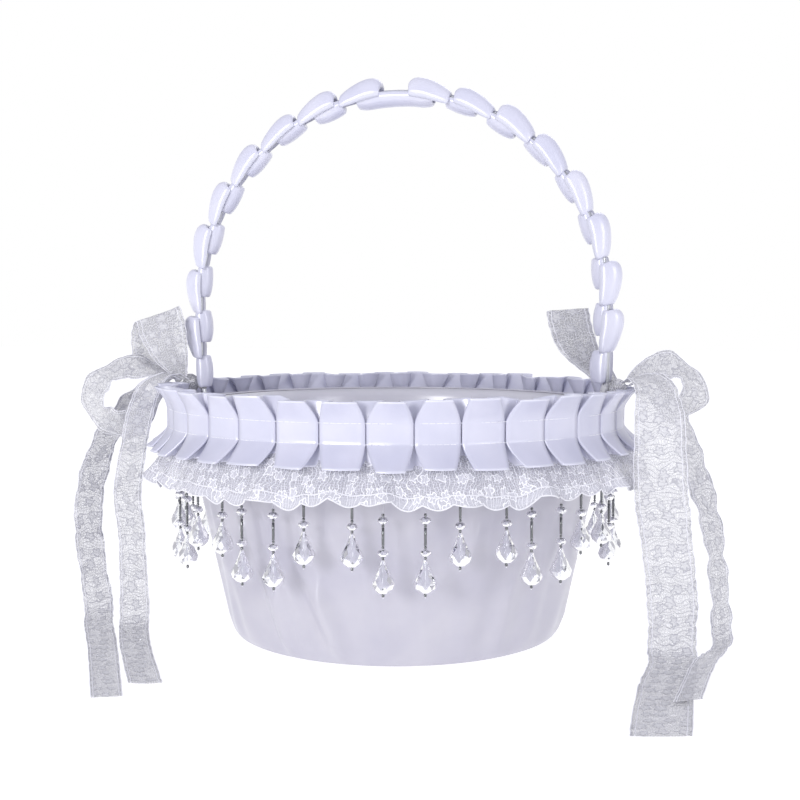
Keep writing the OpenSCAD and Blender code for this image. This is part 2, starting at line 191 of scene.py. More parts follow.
# Satin: long warp floats lie nearly parallel, so its gloss stretches across the threads. The
# threads are drawn 0.5 mm apart, coarser than they are, so that they show.
def satin_finish(name, tone, shade, thread=0.5, bump=0.02, laid_by="UV", gloss_turn=0.0):
    """A woven satin, with its threads along the UV map's height, or along Y on a flat disc."""
    material, tree, shader = finish_start(name)
    uv = add(tree, "ShaderNodeTexCoord").outputs[laid_by]
    cloudy = add(tree, "ShaderNodeTexNoise", {"Vector": uv, "Scale": 0.45, "Detail": 3.0})
    hue = add(tree, "ShaderNodeValToRGB", {"Fac": cloudy.outputs["Fac"]})
    hue.color_ramp.elements[0].position = 0.3
    hue.color_ramp.elements[0].color = linear(shade)
    hue.color_ramp.elements[1].position = 0.7
    hue.color_ramp.elements[1].color = linear(tone)
    tree.links.new(hue.outputs["Color"], shader.inputs["Base Color"])
    across = add(tree, "ShaderNodeMapping", {"Vector": uv, "Scale": (10 / thread, 3.0, 1.0)})
    threads = add(tree, "ShaderNodeTexNoise", {"Vector": across.outputs[0], "Scale": 1.0, "Detail": 2.0})
    glint = add(tree, "ShaderNodeMapRange", {
        "Value": threads.outputs["Fac"], "To Min": 0.26, "To Max": 0.36,
    })
    tree.links.new(glint.outputs[0], shader.inputs["Roughness"])
    relief = add(tree, "ShaderNodeBump", {
        "Height": threads.outputs["Fac"], "Strength": bump, "Distance": 0.0003,
    })
    tree.links.new(relief.outputs[0], shader.inputs["Normal"])
    shader.inputs["Specular IOR Level"].default_value = 1.0
    shader.inputs["Anisotropic"].default_value = 0.65
    shader.inputs["Anisotropic Rotation"].default_value = gloss_turn
    shader.inputs["Sheen Weight"].default_value = 0.1
    shader.inputs["Sheen Roughness"].default_value = 0.4
    shader.inputs["IOR"].default_value = 1.7
    if laid_by == "UV":
        tangent = add(tree, "ShaderNodeTangent", direction_type="UV_MAP", uv_map="UVMap")
        tree.links.new(tangent.outputs[0], shader.inputs["Tangent"])
    return material


# Each fold: its angle from the front at the foot, how far it leans over the wall's height, half of
# its width, all in degrees, then its height in millimetres and the share of the wall it reaches up.
folds = [
    (-34, -17, 3.2, 4.2, 0.9), (-16, -26, 3.2, 4.2, 0.85), (-54, -12, 4.5, 1.5, 0.9),
    (-27, -30, 1.6, 1.2, 1.0), (-3, -12, 4.5, 1.1, 0.9), (9, -6, 5, 1.0, 1.0),
    (21, 4, 4.5, 1.3, 1.0), (33, 6, 3.5, 1.6, 1.0), (46, 8, 4.5, 1.2, 1.0),
]
# The pendants swing in against the middle of the wall, so the folds stay low there.
limit_heights = (26, 38, 84, 92)
limit_folds = (4.2, 1.0, 1.0, 2.0)
fold_draw = np.random.default_rng(7)
for place in range(62, 304, 13):
    folds.append((
        place + fold_draw.uniform(-4, 4), fold_draw.uniform(-16, 16), fold_draw.uniform(2.5, 6),
        fold_draw.uniform(0.6, 1.8), fold_draw.uniform(0.7, 1.0),
    ))


def fold_height(angle, z):
    """How far the satin stands off the card at an angle from the front, in degrees, and a height."""
    up = z / wall_h
    total = np.zeros(np.broadcast(angle, z).shape)
    for foot, lean, half, height, reach in folds:
        gap = (angle - foot - lean * up + 180) % 360 - 180
        starts, ends = np.clip(up / 0.08, 0, 1), np.clip((reach + 0.1 - up) / 0.35, 0, 1)
        total += height * np.exp(-(gap / half) ** 2) * starts * ends
    small_gathers = 0.25 * np.sin(np.radians(angle * 31 + up * 140))
    total += small_gathers * np.clip((up - 0.45) / 0.3, 0, 1)
    return np.clip(total, 0, np.interp(z, limit_heights, limit_folds))


turn_under_r = foot_r - satin_t - turned_under
lip_r = cover_r(wall_h) - satin_t - board_t - lining_gap - satin_t
profile = [(turn_under_r, 0.1), (64, 0.1), (68, 0.1)]
profile += [(foot_r - 1.6, 0.1), (foot_r - 0.5, 0.5), (foot_r + 0.1, 1.4)]
profile += [(cover_r(z), z) for z in np.linspace(2.6, wall_h - 1.2, 44)]
profile += [(cover_r(wall_h) - 0.25, wall_h - 0.3), (cover_r(wall_h) - 0.9, wall_h - 0.05)]
profile += [(r, wall_h - 0.02) for r in np.linspace(cover_r(wall_h) - 2, lip_r, 4)]
profile = np.array(profile)
turns = np.linspace(0, 360, 361)
angle = turns[None, :-1] - 180
height = profile[:, 1][:, None]
stand_off = fold_height(angle, height) * ((profile[:, 0] > foot_r)[:, None])
radius = profile[:, 0][:, None] + stand_off
front = np.radians(camera_turn)
points = np.stack([
    radius * np.sin(np.radians(angle) + front), -radius * np.cos(np.radians(angle) + front),
    np.broadcast_to(height, radius.shape),
], 2)
down_cloth = np.concatenate([[0], np.cumsum(np.hypot(*np.diff(profile, axis=0).T))])
uv = np.stack(np.broadcast_arrays(np.radians(turns)[None, :] * mean_r / 10, down_cloth[:, None] / 10), 2)
satin_cover = cloth("satin_cover", points, uv, ring=True)
thicken(satin_cover, satin_t - 0.1)
satin = satin_finish("white_polyester_satin", "#BAB8C4", "#AEACBC", gloss_turn=0.25)
satin_cover.data.materials.append(satin)
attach(satin_cover, "root")
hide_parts("outer_cover")

# ---------------------------------------------------------------- Lining
# A satin bag inside the tub, with its own round floor. Its top edge is tucked under the cover's
# turned lip, and small gathers run down from there.
lining_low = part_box("lining")[0][2] / MM
lining_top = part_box("lining")[1][2] / MM
lining_t = 0.4
floor_r = 66
corner_r = 5
mean_lining_r = 78
lining_draw = np.random.default_rng(11)
gather_phase = lining_draw.uniform(0, 360, 6)


def lining_r(z):
    """Inner radius of the lining at a height."""
    return cover_r(z) - satin_t - board_t - lining_gap - satin_t


floor_z = lining_low + satin_t
profile = [(r, floor_z + 0.35 * (1 - r / floor_r) ** 2) for r in np.linspace(0.3, floor_r, 14)]
profile += [
    (lining_r(9) - corner_r + corner_r * math.sin(t), floor_z + corner_r - corner_r * math.cos(t))
    for t in np.linspace(0.3, 1.5, 5)
]
profile += [(lining_r(z), z) for z in np.linspace(12, lining_top, 22)]
profile = np.array(profile)
turns = np.linspace(0, 360, 241)
angle = turns[None, :-1]
height = profile[:, 1][:, None]
up = np.clip((height - 8) / 80, 0, 1)
gathers = sum(
    np.sin(np.radians(angle * count + phase) + up * lean)
    for count, phase, lean in zip((9, 14, 21, 29, 37, 46), gather_phase, (1.2, -0.9, 1.6, -0.6, 0.8, 0.3))
)
swell = 0.22 * gathers * np.sin(np.pi * up ** 0.7) - 0.9 * np.sin(np.pi * up)
plain_r = profile[:, 0][:, None]
radius = plain_r + np.where(plain_r > 60, np.clip(swell, -2.6, 0.3), 0)
floor_waves = np.where(plain_r < 60, np.sin(np.radians(angle * 5)) * plain_r / 60, 0)
points = np.stack([
    radius * np.cos(np.radians(angle)), radius * np.sin(np.radians(angle)), height + 0.25 * floor_waves,
], 2)
down_cloth = np.concatenate([[0], np.cumsum(np.hypot(*np.diff(profile, axis=0).T))])
uv = np.stack(np.broadcast_arrays(
    np.radians(turns)[None, :] * mean_lining_r / 10, down_cloth[:, None] / 10,
), 2)
satin_lining = cloth("satin_lining", points, uv, ring=True)
thicken(satin_lining, lining_t)
lining_satin = satin_finish("white_lining_satin", "#CFCED8", "#C4C3CF", gloss_turn=0.25)
satin_lining.data.materials.append(lining_satin)
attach(satin_lining, "root")
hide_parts("lining")

# ---------------------------------------------------------------- Wadding
# A disc of polyester wadding lies under the lining's floor, so that the bottom feels soft.
wadding_low, wadding_high = (corner[2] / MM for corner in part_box("floor_wadding"))
wadding_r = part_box("floor_wadding")[1][0] / MM - 1.2
rounds = np.linspace(0, 2 * math.pi, 97)
edge = [(wadding_r * s, wadding_high - 0.12) for s in np.linspace(0.02, 0.94, 14)]
edge += [(wadding_r * 0.975, wadding_high - 0.3), (wadding_r, (wadding_low + wadding_high) / 2)]
edge += [(wadding_r * 0.98, wadding_low + 0.2)]
edge += [(wadding_r * s, wadding_low + 0.08) for s in np.linspace(0.94, 0.02, 14)]
edge = np.array(edge)
way_round, way_out = rounds[None, :-1], edge[:, :1]
fluff = 0.1 * np.sin(7 * way_round + way_out * 0.9) * np.sin(way_out * 0.35 + 2 * way_round)
points = np.stack([
    edge[:, :1] * np.cos(rounds[:-1])[None, :], edge[:, :1] * np.sin(rounds[:-1])[None, :],
    edge[:, 1:] - np.abs(fluff) * np.sign(edge[:, 1:] - (wadding_low + wadding_high) / 2),
], 2)
uv = np.stack(np.broadcast_arrays(rounds[None, :], np.arange(len(edge))[:, None] * 0.5), 2)
wadding_disc = cloth("wadding_disc", points, uv, ring=True, flip=True)
hole_fill = bmesh.new()
hole_fill.from_mesh(wadding_disc.data)
bmesh.ops.holes_fill(hole_fill, edges=hole_fill.edges[:])
bmesh.ops.recalc_face_normals(hole_fill, faces=hole_fill.faces[:])
hole_fill.to_mesh(wadding_disc.data)
hole_fill.free()

# Polyester wadding: matt white crimped fibres in every direction.
fibre, tree, shader = finish_start("polyester_wadding")
place = add(tree, "ShaderNodeTexCoord").outputs["Object"]
crimp = add(tree, "ShaderNodeTexNoise", {"Vector": place, "Scale": 700.0, "Detail": 6.0, "Distortion": 2.0})
hue = add(tree, "ShaderNodeMix", {
    0: crimp.outputs["Fac"], 6: linear("#E4E4E6"), 7: linear("#F8F8F8"),
}, data_type="RGBA")
tree.links.new(hue.outputs[2], shader.inputs["Base Color"])
relief = add(tree, "ShaderNodeBump", {"Height": crimp.outputs["Fac"], "Strength": 0.8, "Distance": 0.0005})
tree.links.new(relief.outputs[0], shader.inputs["Normal"])
shader.inputs["Roughness"].default_value = 0.95
wadding_disc.data.materials.append(fibre)
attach(wadding_disc, "root")
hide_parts("floor_wadding")

# ---------------------------------------------------------------- Pleated rim
# One long satin ribbon, folded into box pleats and sewn round the rim with two rows along its
# middle. Under the rows the pleats lie flat side by side, and above and below them they spring open.
rim_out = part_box("rim_ruffle")[1][0] / MM
band_h = 8.0
band_mid = wall_h - 6.4
band_r = cover_r(band_mid) + 7.1
low_out, top_out = rim_out - band_r, rim_out - band_r - 3.5
pleats = 35
first_pleat = math.radians(11.6)
pitch = 2 * math.pi * band_r / pleats
half_face = 0.488 * pitch
edge_width = 11.2
half_tall = 13
bulge_length = 1.17
pleat_draw = np.random.default_rng(23)
heights = np.concatenate([
    np.linspace(-half_tall, -4.2, 14), [-3.8, -2.6, -1.3, 0, 1.3, 2.6, 3.8], np.linspace(4.2, half_tall, 14),
])
band_row = len(heights) // 2
wiggle = pleat_draw.uniform(-1, 1, (pleats, 10))


def sprung(v):
    """How far the pleats have opened, from 0 in the band to 1 at the ribbon's edges."""
    return max(0.0, (abs(v) - 3.6) / 9.4) ** 1.3


def pleat_outline(pleat, v):
    """Points across one box pleat at a height from the band's middle: (along, out of the band)."""
    w = wiggle[pleat]
    upper = v > 0
    open_up = sprung(v) ** 1.1
    lean = (w[0] if upper else w[1]) * 1.8 * open_up
    half = half_face * (1 - open_up) + (edge_width / 2 + 0.9 * (w[2] if upper else w[3])) * open_up
    reach = ((top_out if upper else low_out) - 0.8 + 1.1 * (w[4] if upper else w[5])) * open_up
    twist = 0.05 * w[5] + (w[8] if upper else w[9]) * 0.24 * open_up
    depth = 1.0 + (6.0 if upper else 4.8) * open_up
    tuck = half * (1 - 0.42 * open_up) - 3.0 * (1 - open_up)
    crown = 0.4 + 1.0 * open_up
    ridge = 0.6
    face = [
        (half * s, reach + crown * (1 - s * s) + ridge * abs(s) ** 12 + twist * half * s)
        for s in np.linspace(-0.97, 0.97, 11)
    ]
    fold = [(half, -0.15), (half - 0.15, -0.5), (half - 0.5, -0.8)]
    side = [((half + tuck) / 2, -depth * 0.5), (tuck, -depth * 0.86), (tuck + 0.4, -depth)]
    right = [(x, reach + y + twist * half) for x, y in fold + side]
    left = [(-x, reach + y - twist * half) for x, y in (fold + side)[::-1]]
    back = (pitch / 2 - lean, reach * 0.8 - depth - 0.3)
    return [(lean + x, y) for x, y in left + face + right + [back]]


per_pleat = len(pleat_outline(0, 0.0))
points = np.zeros((len(heights), pleats * per_pleat, 3))
for row, v in enumerate(heights):
    for pleat in range(pleats):
        w = wiggle[pleat]
        for n, (along, out) in enumerate(pleat_outline(pleat, v)):
            turn = first_pleat + pleat * 2 * math.pi / pleats + along / band_r
            r = band_r - 0.6 + out
            z = band_mid + v + (0.8 * w[6] if v > 0 else 0.8 * w[7]) * sprung(v)
            points[row, pleat * per_pleat + n] = (r * math.sin(turn), -r * math.cos(turn), z)
closed = np.concatenate([points, points[:, :1]], 1)
along_cloth = np.concatenate([[0], np.cumsum(np.linalg.norm(np.diff(closed[band_row], axis=0), axis=1))])
uv = np.stack(np.broadcast_arrays(
    along_cloth[None, :] / 10, (heights[:, None] + half_tall) * bulge_length / 10,
), 2)
pleated_rim = cloth("pleated_rim", points, uv, ring=True)
thicken(pleated_rim, 0.3, offset=0.0)


# Double-face satin ribbon: the same gloss as the cover, with a woven selvedge at each edge that is painted a
# little lighter, a painted highlight along the edge.
def ribbon_satin(name, tone, shade, width):
    """Satin with a woven selvedge at both edges of a ribbon whose UV height runs over its width, lightened
    there as a painted highlight.
    """
    material = satin_finish(name, tone, shade, thread=0.45)
    tree = material.node_tree
    shader = tree.nodes["Principled BSDF"]
    uv = add(tree, "ShaderNodeTexCoord").outputs["UV"]
    over = add(tree, "ShaderNodeSeparateXYZ", {0: uv}).outputs["Y"]
    from_middle = add(tree, "ShaderNodeMath", {0: over, 1: width / 20}, operation="SUBTRACT").outputs[0]
    from_middle = add(tree, "ShaderNodeMath", {0: from_middle}, operation="ABSOLUTE").outputs[0]
    # Painted highlight: a lighter colour is mixed in along both edges, over the ribbon's real woven
    # selvedge.
    selvedge_and_highlight = add(tree, "ShaderNodeMapRange", {
        "Value": from_middle, "From Min": width / 20 - 0.09, "From Max": width / 20 - 0.06,
    }).outputs[0]
    body = shader.inputs["Base Color"].links[0].from_socket
    mixed = add(tree, "ShaderNodeMix", {0: selvedge_and_highlight, 6: body, 7: linear("#D2D3E4")}, data_type="RGBA")
    tree.links.new(mixed.outputs[2], shader.inputs["Base Color"])
    return material


ribbon_width = round(2 * half_tall * bulge_length, 1)
ribbon = ribbon_satin("double_face_satin_ribbon", "#CCCCDE", "#BEBFD4", ribbon_width)
pleated_rim.data.materials.append(ribbon)
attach(pleated_rim, "root")
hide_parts("rim_ruffle")

# ---------------------------------------------------------------- Band stitching
# Two rows of machine stitches hold the pleats, each about 2.2 mm long, sunk a little into the satin.


def grown(name, guide, tree, values):
    """Runs a geometry tree on a guide, with its inputs by name, and returns the result as a mesh."""
    grower = guide.modifiers.new("grow", "NODES")
    grower.node_group = tree
    for item in tree.interface.items_tree:
        if item.item_type == "SOCKET" and item.in_out == "INPUT" and item.name in values:
            grower[item.identifier] = values[item.name]
    bpy.context.view_layer.update()
    mesh = bpy.data.meshes.new_from_object(guide.evaluated_get(bpy.context.evaluated_depsgraph_get()))
    guide.modifiers.remove(grower)
    bpy.data.objects.remove(guide)
    mesh.name = name
    piece = bpy.data.objects.new(name, mesh)
    scene.collection.objects.link(piece)
    return piece


def guide_line(name, lines, closed=False):
    """Lines of points, in millimetres, as edges for a geometry tree to follow."""
    places, edges = [], []
    for line in lines:
        start = len(places)
        places += [tuple(float(c) * MM for c in point) for point in line]
        edges += [(start + n, start + n + 1) for n in range(len(line) - 1)]
        if closed:
            edges.append((start + len(line) - 1, start))
    mesh = bpy.data.meshes.new(name)
    mesh.from_pydata(places, edges, [])
    guide = bpy.data.objects.new(name, mesh)
    scene.collection.objects.link(guide)
    return guide


def geometry_tree(name, sizes):
    """An empty geometry tree with a Geometry input and output and the named size inputs."""
    tree = bpy.data.node_groups.new(name, "GeometryNodeTree")
    tree.interface.new_socket("Geometry", in_out="INPUT", socket_type="NodeSocketGeometry")
    for size, (kind, value) in sizes.items():
        socket = tree.interface.new_socket(size, in_out="INPUT", socket_type=kind)
        if value is not None:
            socket.default_value = value
    tree.interface.new_socket("Geometry", in_out="OUTPUT", socket_type="NodeSocketGeometry")
    return tree, add(tree, "NodeGroupInput"), add(tree, "NodeGroupOutput")


stitch_tree, given, made = geometry_tree("row_of_stitches", {
    "Stitch length": ("NodeSocketFloat", 0.002), "Gap": ("NodeSocketFloat", 0.0006),
    "Thread radius": ("NodeSocketFloat", 0.0002), "Material": ("NodeSocketMaterial", None),
})
pitch_sum = add(stitch_tree, "ShaderNodeMath", {
    0: given.outputs["Stitch length"], 1: given.outputs["Gap"],
}, operation="ADD")
row_curve = add(stitch_tree, "GeometryNodeMeshToCurve", {"Mesh": given.outputs["Geometry"]})
even = add(stitch_tree, "GeometryNodeResampleCurve", {
    "Curve": row_curve.outputs[0], "Length": pitch_sum.outputs[0],
}, mode="LENGTH")
tangent_of = add(stitch_tree, "GeometryNodeInputTangent")
aim = add(stitch_tree, "FunctionNodeAlignEulerToVector", {"Vector": tangent_of.outputs[0]}, axis="Z")
capsule = add(stitch_tree, "GeometryNodeMeshCylinder", {
    "Vertices": 6, "Side Segments": 3, "Radius": given.outputs["Thread radius"],
    "Depth": given.outputs["Stitch length"],
})
spots = add(stitch_tree, "GeometryNodeInstanceOnPoints", {
    "Points": even.outputs[0], "Instance": capsule.outputs["Mesh"], "Rotation": aim.outputs[0],
})
solid_stitches = add(stitch_tree, "GeometryNodeRealizeInstances", {"Geometry": spots.outputs[0]})
coloured = add(stitch_tree, "GeometryNodeSetMaterial", {
    "Geometry": solid_stitches.outputs[0], "Material": given.outputs["Material"],
})
stitch_tree.links.new(coloured.outputs[0], made.inputs[0])


# Sewing thread: two twisted polyester plies, so its colour bands run round it.
def thread_finish(name, tone):
    """Twisted polyester thread."""
    material, tree, shader = finish_start(name)
    place = add(tree, "ShaderNodeTexCoord").outputs["Object"]
    twist = add(tree, "ShaderNodeTexWave", {
        "Vector": place, "Scale": 900.0, "Distortion": 1.0,
    }, bands_direction="DIAGONAL")
    hue = add(tree, "ShaderNodeMix", {
        0: twist.outputs["Fac"], 6: linear("#DADAE4"), 7: linear(tone),
    }, data_type="RGBA")
    tree.links.new(hue.outputs[2], shader.inputs["Base Color"])
    relief = add(tree, "ShaderNodeBump", {
        "Height": twist.outputs["Fac"], "Strength": 0.4, "Distance": 0.0001,
    })
    tree.links.new(relief.outputs[0], shader.inputs["Normal"])
    shader.inputs["Roughness"].default_value = 0.55
    shader.inputs["Sheen Weight"].default_value = 0.3
    return material


thread = thread_finish("twisted_polyester_thread", "#F6F6FC")
stitch_rows = []
for level in (-band_h / 2, band_h / 2):
    row = []
    for pleat in range(pleats):
        for s in np.linspace(-0.92, 0.92, 9):
            turn = first_pleat + pleat * 2 * math.pi / pleats + s * half_face / band_r
            r = band_r - 0.6 + 0.3 * (1 - s * s) + 0.24
            row.append((r * math.sin(turn), -r * math.cos(turn), band_mid + level))
    stitch_rows.append(row)
band_stitches = grown("band_stitches", guide_line("stitch_guide", stitch_rows, closed=True), stitch_tree, {
    "Stitch length": 0.0022, "Gap": 0.0005, "Thread radius": 0.00016, "Material": thread,
})
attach(band_stitches, "root")

# ---------------------------------------------------------------- Lace frill
# A strip of net lace with a floral pattern and a scalloped, corded edge, gathered to the rim under
# the satin ribbon. It hangs outwards over the beads.
skirt_low, skirt_top = (corner[2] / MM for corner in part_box("lace_skirt"))
skirt_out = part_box("lace_skirt")[1][0] / MM
skirt_in = cover_r(skirt_top) + 4.4
scallops = 60
frill_h = 26
ungathered_r = 120
frill_columns = scallops * 12
frill_rows = 18
frill_draw = np.random.default_rng(5)
wave_sizes = frill_draw.uniform(0.5, 1.0, 4)
wave_phases = frill_draw.uniform(0, 6.28, 4)


def frill_point(turn, share):
    """A point of the frill at an angle in radians and a share of the way down."""
    ruffle = sum(
        size * math.sin(count * turn + phase)
        for count, size, phase in zip((17, 24, 31, 43), wave_sizes, wave_phases)
    ) / 4
    # The waves' valleys are shallower than their crests, clear of the pendants that swing out.
    ruffle = max(ruffle, 0.6 * ruffle)
    scallop = abs(math.sin(scallops * turn / 2))
    r = skirt_in + (skirt_out - skirt_in) * share ** 1.1 + 6.5 * ruffle * share ** 1.2
    r = max(r, skirt_in + 0.72 * (skirt_out - skirt_in) * share)
    z = skirt_top - (skirt_top - skirt_low) * share
    z += (4.6 * ruffle + 0.9 * math.sin(7 * turn + 1)) * share ** 2 - (scallop - 0.45) * 1.9 * share ** 6
    return r * math.sin(turn), -r * math.cos(turn), z


points = np.array([
    [frill_point(2 * math.pi * c / frill_columns, s) for c in range(frill_columns)]
    for s in np.linspace(0, 1, frill_rows)
])
uv = np.stack(np.broadcast_arrays(
    np.arange(frill_columns + 1)[None, :] * (2 * math.pi * ungathered_r / 10 / frill_columns),
    np.linspace(0, frill_h / 10, frill_rows)[:, None],
), 2)
lace_frill = cloth("lace_frill", points, uv, ring=True, flip=True)
thicken(lace_frill, 0.25, offset=0.0)


# Net lace: a ground of small meshes in fine yarn, with flowers and stems worked in dense stitches. The
# holes are real see-through, and the yarn is drawn a little thicker than it is so that it shows.
def lace_finish(name, tone, ground, net_cell, flower_cell, sheer, edge_from, edge_to):
    """Lace whose UV map is in centimetres, with a dense border between two UV heights."""
    material, tree, shader = finish_start(name)
    uv = add(tree, "ShaderNodeTexCoord").outputs["UV"]
    bend = add(tree, "ShaderNodeTexNoise", {"Vector": uv, "Scale": 1.6, "Detail": 1.0})
    bend = add(tree, "ShaderNodeVectorMath", {
        0: bend.outputs["Color"], 1: (0.5, 0.5, 0.5),
    }, operation="SUBTRACT")
    bend = add(tree, "ShaderNodeVectorMath", {0: bend.outputs[0], "Scale": 0.42}, operation="SCALE")
    bent = add(tree, "ShaderNodeVectorMath", {0: uv, 1: bend.outputs[0]}, operation="ADD").outputs[0]
    net = add(tree, "ShaderNodeTexVoronoi", {
        "Vector": bent, "Scale": 10 / net_cell, "Randomness": 0.7,
    }, voronoi_dimensions="2D", feature="DISTANCE_TO_EDGE")
    net = add(tree, "ShaderNodeMapRange", {
        "Value": net.outputs["Distance"], "From Min": 0.07, "From Max": 0.17, "To Min": 0.9, "To Max": sheer,
    }).outputs[0]
    blossom = add(tree, "ShaderNodeTexVoronoi", {
        "Vector": bent, "Scale": 10 / flower_cell, "Randomness": 0.55,
    }, voronoi_dimensions="2D", feature="F1")
    inside = add(tree, "ShaderNodeVectorMath", {
        0: bent, 1: blossom.outputs["Position"],
    }, operation="SUBTRACT").outputs[0]
    part = add(tree, "ShaderNodeSeparateXYZ", {0: inside})
    bearing = add(tree, "ShaderNodeMath", {
        0: part.outputs["Y"], 1: part.outputs["X"],
    }, operation="ARCTAN2").outputs[0]
    bearing = add(tree, "ShaderNodeMath", {0: bearing, 1: 5.0}, operation="MULTIPLY").outputs[0]
    petal = add(tree, "ShaderNodeMath", {0: bearing}, operation="COSINE").outputs[0]
    reach = add(tree, "ShaderNodeMath", {0: petal, 1: 0.07, 2: 0.27}, operation="MULTIPLY_ADD").outputs[0]
    from_edge = add(tree, "ShaderNodeMath", {
        0: reach, 1: blossom.outputs["Distance"],
    }, operation="SUBTRACT").outputs[0]
    solid = add(tree, "ShaderNodeMapRange", {
        "Value": from_edge, "From Min": 0.0, "From Max": 0.03, "To Max": 0.8,
    }).outputs[0]
    rim = add(tree, "ShaderNodeMath", {0: from_edge, 1: 0.0, 2: 0.035}, operation="COMPARE").outputs[0]
    stems = add(tree, "ShaderNodeTexWave", {
        "Vector": bent, "Scale": 0.9, "Distortion": 7.0, "Detail": 1.0, "Detail Scale": 1.3,
    }, wave_profile="SIN")
    stems = add(tree, "ShaderNodeMath", {
        0: stems.outputs["Fac"], 1: 0.5, 2: 0.09,
    }, operation="COMPARE").outputs[0]
    stems = add(tree, "ShaderNodeMath", {0: stems, 1: 0.95}, operation="MULTIPLY").outputs[0]
    over = add(tree, "ShaderNodeSeparateXYZ", {0: uv}).outputs["Y"]
    border = add(tree, "ShaderNodeMapRange", {
        "Value": over, "From Min": edge_from, "From Max": edge_to, "To Min": 0.0, "To Max": 0.7,
    }).outputs[0]
    worked = add(tree, "ShaderNodeMath", {0: rim, 1: stems}, operation="MAXIMUM").outputs[0]
    cover = worked
    for layer in (net, solid, border):
        cover = add(tree, "ShaderNodeMath", {0: cover, 1: layer}, operation="MAXIMUM").outputs[0]
    tree.links.new(cover, shader.inputs["Alpha"])
    hue = add(tree, "ShaderNodeMix", {0: worked, 6: linear(ground), 7: linear(tone)}, data_type="RGBA")
    tree.links.new(hue.outputs[2], shader.inputs["Base Color"])
    relief = add(tree, "ShaderNodeBump", {"Height": cover, "Strength": 0.6, "Distance": 0.0003})
    tree.links.new(relief.outputs[0], shader.inputs["Normal"])
    shader.inputs["Roughness"].default_value = 0.6
    shader.inputs["Sheen Weight"].default_value = 0.2
    return material


frill_lace = lace_finish("white_net_lace", "#FAFAFF", "#D4D4DE", 1.0, 6.5, 0.35, 2.2, 2.3)
lace_frill.data.materials.append(frill_lace)
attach(lace_frill, "root")
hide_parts("lace_skirt")

# The cord along the frill's scalloped edge is a heavier yarn worked over the border.
cord_tree, given, made = geometry_tree("yarn_along_a_line", {
    "Radius": ("NodeSocketFloat", 0.0003), "Sides": ("NodeSocketInt", 6),
    "Material": ("NodeSocketMaterial", None),
})
line_curve = add(cord_tree, "GeometryNodeMeshToCurve", {"Mesh": given.outputs["Geometry"]})
round_yarn = add(cord_tree, "GeometryNodeCurvePrimitiveCircle", {
    "Resolution": given.outputs["Sides"], "Radius": given.outputs["Radius"],
})
tube = add(cord_tree, "GeometryNodeCurveToMesh", {
    "Curve": line_curve.outputs[0], "Profile Curve": round_yarn.outputs[0], "Fill Caps": True,
})
solid_tube = add(cord_tree, "GeometryNodeRealizeInstances", {"Geometry": tube.outputs[0]})
smooth_tube = add(cord_tree, "GeometryNodeSetShadeSmooth", {"Geometry": solid_tube.outputs[0]})
coloured = add(cord_tree, "GeometryNodeSetMaterial", {
    "Geometry": smooth_tube.outputs[0], "Material": given.outputs["Material"],
})
cord_tree.links.new(coloured.outputs[0], made.inputs[0])

yarn = thread_finish("corded_lace_yarn", "#F8F8FD")
edge_line = [frill_point(2 * math.pi * c / frill_columns, 1.0) for c in range(frill_columns)]
inner_line = [frill_point(2 * math.pi * c / frill_columns, 0.84) for c in range(frill_columns)]
frill_guide = guide_line("frill_guide", [edge_line, inner_line], closed=True)
frill_cord = grown("frill_edge_cord", frill_guide, cord_tree, {
    "Radius": 0.00032, "Sides": 5, "Material": yarn,
})
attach(frill_cord, "root")

# ---------------------------------------------------------------- Beaded pendants
# Forty strings hang from a cord under the lace, two long and two short by turns. Each carries tiny
# seed beads, one silver-lined bugle, faceted round beads and a drop, knotted below the last seed.
tape_h = 15
cord_drop = 2.0
hinge_r = cover_r(band_mid - band_h / 2) + 3.6
hinge_z = band_mid - band_h / 2 - tape_h - cord_drop
eye_r = 1.2
thread_r = 0.16
bead_space = 0.1
pendants = 40
first_pendant = 10
group_turn = 36
pendant_offsets = (0, 9.5, 17.5, 29)
long_thread, short_thread = 9.5, 5.0
long_strand = ("seed", "rondelle", "seed", "bugle", "seed", "rondelle", "seed", "teardrop", "seed")
short_strand = ("bugle", "seed", "rondelle", "seed", "teardrop", "seed")


# Clear acrylic: sharp flat facets that bend what lies behind them.
crystal, tree, shader = finish_start("clear_faceted_acrylic")
place = add(tree, "ShaderNodeTexCoord").outputs["Object"]
haze = add(tree, "ShaderNodeTexNoise", {"Vector": place, "Scale": 260.0, "Detail": 2.0})
polish = add(tree, "ShaderNodeMapRange", {"Value": haze.outputs["Fac"], "To Min": 0.0, "To Max": 0.06})
tree.links.new(polish.outputs[0], shader.inputs["Roughness"])
shader.inputs["Base Color"].default_value = linear("#FBFCFF")
shader.inputs["Transmission Weight"].default_value = 1.0
shader.inputs["IOR"].default_value = 1.56

# Silver-lined glass: a clear tube over a dark mirror, with streaks along it.
bugle_glass, tree, shader = finish_start("silver_lined_glass")
place = add(tree, "ShaderNodeTexCoord").outputs["Object"]
streak = add(tree, "ShaderNodeMapping", {"Vector": place, "Scale": (2200.0, 2200.0, 120.0)})
streak = add(tree, "ShaderNodeTexNoise", {"Vector": streak.outputs[0], "Scale": 1.0, "Detail": 2.0})
hue = add(tree, "ShaderNodeMix", {
    0: streak.outputs["Fac"], 6: linear("#26282B"), 7: linear("#8E9194"),
}, data_type="RGBA")
tree.links.new(hue.outputs[2], shader.inputs["Base Color"])
shader.inputs["Metallic"].default_value = 0.75
shader.inputs["Roughness"].default_value = 0.16
shader.inputs["Coat Weight"].default_value = 1.0
shader.inputs["Coat Roughness"].default_value = 0.03


